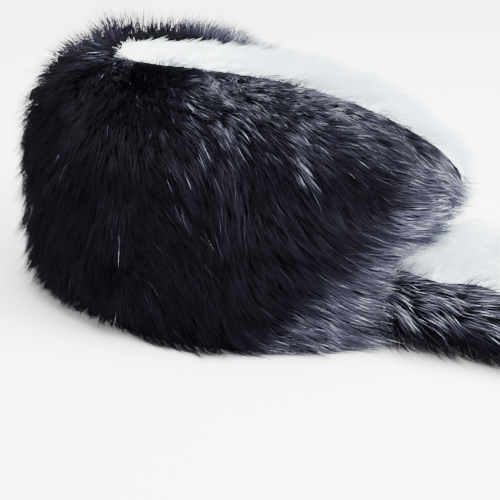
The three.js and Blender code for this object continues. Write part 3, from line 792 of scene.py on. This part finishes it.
def fur_finish(name, shades, *, dark_root, tip, tip_share, roughness, sheen, specular):
    """Combed fur on a tanned pelt. Each hair is smooth, dark at its root where the coat shades it, and shows
    its own shade from its middle on, so the coat looks deep and silky, with fine streaks. The shade and the
    place along the hair come from the hair's UV map."""
    material, add = new_tree(name)
    place = add("ShaderNodeUVMap", uv_map="OFBake")
    axes = add("ShaderNodeSeparateXYZ", (place,)).outputs
    reach = add(
        "ShaderNodeMapRange",
        {"Value": axes["Y"], "From Min": 0.2, "From Max": 0.7, "To Min": dark_root, "To Max": 1.0},
    )
    shade = add(MATH, (axes["X"], reach), operation="MINIMUM")
    colour = set_shades(add("ShaderNodeValToRGB", {"Fac": shade}), shades)
    tipped = add(
        "ShaderNodeMapRange", {"Value": axes["Y"], "From Min": 0.45, "From Max": 1.0, "To Max": tip_share}
    )
    mixed = add("ShaderNodeMix", {"Factor": tipped, "A": colour, "B": linear(tip)}, data_type="RGBA")
    grain_scale = (GRAIN_SHADES, HAIR_LENGTH / GRAIN_LENGTH, 1.0)
    stretched = add("ShaderNodeMapping", {"Vector": place, "Scale": grain_scale})
    grain = add("ShaderNodeTexNoise", {"Vector": stretched, "Scale": 1.0, "Detail": 2.0})
    rough = add(
        "ShaderNodeMapRange",
        {
            "Value": grain,
            "From Min": 0.3,
            "From Max": 0.7,
            "To Min": roughness - 0.08,
            "To Max": roughness + 0.1,
        },
    )
    shader = add(
        "ShaderNodeBsdfPrincipled",
        {
            "Base Color": mixed,
            "Roughness": rough,
            "IOR": 1.55,
            "Specular IOR Level": specular,
            "Specular Tint": linear("#e2e6fa"),
            "Sheen Weight": sheen,
            "Sheen Roughness": 0.35,
        },
    )
    add("ShaderNodeOutputMaterial", {"Surface": shader})
    return material


def wool_finish(name, dark, pale):
    """Dense underwool, short and crimped, below the long hair. It scatters the light, so it looks matt, and
    it shows only as soft depth in fine upright streaks."""
    material, add = new_tree(name)
    place = add("ShaderNodeTexCoord").outputs["Object"]
    stretched = add("ShaderNodeMapping", {"Vector": place, "Scale": (1.0, 0.6, 0.35)})
    tufts = add("ShaderNodeTexNoise", {"Vector": stretched, "Scale": 1 / WOOL_TUFT, "Detail": 3.0})
    colour = set_shades(add("ShaderNodeValToRGB", {"Fac": tufts}), [(0.35, dark), (0.7, pale)])
    bump = add("ShaderNodeBump", {"Height": tufts, "Strength": 0.8, "Distance": WOOL_HEIGHT})
    shader = add(
        "ShaderNodeBsdfPrincipled",
        {"Base Color": colour, "Roughness": 0.9, "Specular IOR Level": 0.02, "Normal": bump},
    )
    add("ShaderNodeOutputMaterial", {"Surface": shader})
    return material


def hide_finish():
    """Tanned hide, the back of the pelt, scraped and buffed: pale grey-buff leather that looks dry and matt,
    with soft mottling and fine pores."""
    material, add = new_tree("tanned_hide")
    place = add("ShaderNodeTexCoord").outputs["Object"]
    mottle = add("ShaderNodeTexNoise", {"Vector": place, "Scale": 1 / HIDE_MOTTLE, "Detail": 4.0})
    shades = [(0.3, "#a9a093"), (0.55, "#bbb3a7"), (0.75, "#cac4b9")]
    colour = set_shades(add("ShaderNodeValToRGB", {"Fac": mottle}), shades)
    pores = add(
        "ShaderNodeTexVoronoi", {"Vector": place, "Scale": 1 / HIDE_PORES}, feature="DISTANCE_TO_EDGE"
    )
    rough = add("ShaderNodeMapRange", {"Value": mottle, "To Min": 0.7, "To Max": 0.92})
    bump = add("ShaderNodeBump", {"Height": pores, "Strength": 0.35, "Distance": HIDE_PORE_DEPTH})
    shader = add("ShaderNodeBsdfPrincipled", {"Base Color": colour, "Roughness": rough, "Normal": bump})
    add("ShaderNodeOutputMaterial", {"Surface": shader})
    return material


def floor_finish():
    """Matt white paper, as under a studio's lamps, with a little light of its own so that it stays pale."""
    material, add = new_tree("pale_floor")
    shader = add(
        "ShaderNodeBsdfPrincipled",
        {
            "Base Color": linear("#fcfcfc"),
            "Roughness": 0.8,
            "Emission Color": linear("#ffffff"),
            "Emission Strength": 0.1,
        },
    )
    add("ShaderNodeOutputMaterial", {"Surface": shader})
    return material


# The pieces


def place_piece(name, mesh, node):
    """Puts a piece in the scene in place of a CAD node."""
    piece = bpy.data.objects.new(name, mesh)
    bpy.context.scene.collection.objects.link(piece)
    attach(piece, "root")
    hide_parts(node)


def dress_cap(tree, black, white, black_wool, white_wool):
    """The hair and the underwool of the crown, the band and the stripe. The black hair is in a left and a
    right half, so that no piece is too large."""
    skin = outer_hide()
    coats = coat_of_each_face(skin)
    faces_of = {node: [i for i, coat in enumerate(coats) if coat == node] for node in set(coats)}
    seed = 4
    for node in ("crown_fur", "band_fur"):
        for side, is_left in (("left", True), ("right", False)):
            name = f"{node}_{side}"
            half = [i for i in faces_of[node] if (skin.polygons[i].center.x > MIDDLE_X) == is_left]
            pelt = pelt_from_faces(name, skin, half, False)
            hair = grow(name, pelt, tree, black, HAIRS_PER_AREA, seed, {})
            place_piece(name, hair, node)
            seed += 1
    for node in ("crown_fur", "band_fur"):
        pelt = pelt_from_faces(node, skin, faces_of[node], False)
        place_piece(node + "_wool", undercoat(node + "_wool", pelt, black_wool), node)
    pelt = pelt_from_faces("stripe", skin, faces_of["stripe_fur"], True)
    hair = grow("stripe_hair", pelt, tree, white, HAIRS_PER_AREA, seed, {"Swirl": 1.0})
    place_piece("stripe_hair", hair, "stripe_fur")
    place_piece("stripe_wool", undercoat("stripe_wool", pelt, white_wool), "stripe_fur")


def dress_tail(tree, black, white, black_wool, white_wool):
    """The hair and the underwool of the tail."""
    rings = tail_rings()
    for name, node, is_white, finish, wool, slot, seed in (
        ("tail_black_hair", "tail_fur", False, black, black_wool, "black_fur", 9),
        ("tail_white_hair", "tail_stripe", True, white, white_wool, "white_fur", 10),
    ):
        pelt = tail_pelt(name, rings, is_white)
        hair = grow(name, pelt, tree, finish, TAIL_HAIRS_PER_AREA, seed, TAIL_HAIR)
        place_piece(name, hair, node)
        place_piece(name + "_wool", undercoat(name + "_wool", pelt, wool), node)


def dress():
    """Gives the hide its leather, and the cap and the tail their fur. The pelt was tanned with its hair on,
    then washed and combed. Its black guard hair grows nearly blue-black, and a smooth skin on each hair
    gives it a low cool gloss. The white hair holds no colour, so light goes on from hair to hair inside the
    coat, and it looks bright, soft and a little cool."""
    finishes = (
        fur_finish(
            "black_skunk_fur",
            BLACK_SHADES,
            dark_root=0.35,
            tip="#7c8090",
            tip_share=0.01,
            roughness=0.45,
            sheen=0.0,
            specular=0.03,
        ),
        fur_finish(
            "white_skunk_fur",
            WHITE_SHADES,
            dark_root=0.1,
            tip="#ffffff",
            tip_share=0.5,
            roughness=0.55,
            sheen=0.25,
            specular=0.4,
        ),
        wool_finish("dense_black_underwool", "#020203", "#0b0a0e"),
        wool_finish("dense_white_underwool", "#cfd8db", "#e9eff1"),
    )
    tree = fur_nodes()
    dress_cap(tree, *finishes)
    dress_tail(tree, *finishes)
    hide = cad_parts["hide_shell"]
    hide.data.materials.clear()
    hide.data.materials.append(hide_finish())


# Camera, light and floor

CAMERA_DISTANCE = 0.92
CAMERA_RISE = math.radians(22.4)
CAMERA_ROLL = math.radians(4)
FRAME_WIDTH = 0.327  # what the picture's width covers at the cap's middle
SENSOR_WIDTH = 36
AIM = Vector((MIDDLE_X, MIDDLE_Y + 17 * MM, 26 * MM))
FLOOR_HALF_WIDTH = 6.0

# Each lamp's name, place, width, watts and colour: a window behind the cap's left, and the ceiling.
LAMPS = (
    ("window", (0.35, 1.05, 0.95), 0.9, 115, "#f5f8ff"),
    ("ceiling", (0.3, 0.1, 2.2), 2.0, 275, "#ffffff"),
)


def make_camera():
    """The camera on the wearer's left, a little above the cap."""
    data = bpy.data.cameras.new("camera")
    data.sensor_width = SENSOR_WIDTH
    data.lens = SENSOR_WIDTH * CAMERA_DISTANCE / FRAME_WIDTH
    camera = bpy.data.objects.new("camera", data)
    bpy.context.scene.collection.objects.link(camera)
    away = Vector((math.cos(CAMERA_RISE), 0, math.sin(CAMERA_RISE)))
    turn = away.to_track_quat("Z", "Y").to_matrix().to_4x4()
    roll = Matrix.Rotation(CAMERA_ROLL, 4, "Z")
    camera.matrix_world = Matrix.Translation(AIM + away * CAMERA_DISTANCE) @ turn @ roll
    bpy.context.scene.camera = camera


def make_lamps():
    """Soft round lamps, turned to the cap."""
    cap = Vector((MIDDLE_X, MIDDLE_Y, 80 * MM))
    for name, place, width, watts, colour in LAMPS:
        data = bpy.data.lights.new(name, "AREA")
        data.shape = "DISK"
        data.size = width
        data.energy = watts
        data.color = linear(colour)[:3]
        lamp = bpy.data.objects.new(name, data)
        bpy.context.scene.collection.objects.link(lamp)
        lamp.location = place
        lamp.rotation_euler = (Vector(place) - cap).to_track_quat("Z", "Y").to_euler()


def make_studio():
    """The floor and the light that comes from all round."""
    bm = bmesh.new()
    bmesh.ops.create_grid(bm, x_segments=1, y_segments=1, size=FLOOR_HALF_WIDTH)
    mesh = bpy.data.meshes.new("floor")
    bm.to_mesh(mesh)
    bm.free()
    mesh.materials.append(floor_finish())
    floor = bpy.data.objects.new("floor", mesh)
    bpy.context.scene.collection.objects.link(floor)
    world = bpy.data.worlds.new("studio")
    bpy.context.scene.world = world
    world.use_nodes = True
    light = world.node_tree.nodes["Background"].inputs
    light["Color"].default_value = linear("#f4f6fa")
    light["Strength"].default_value = 1.5


make_camera()
make_studio()
make_lamps()
dress()
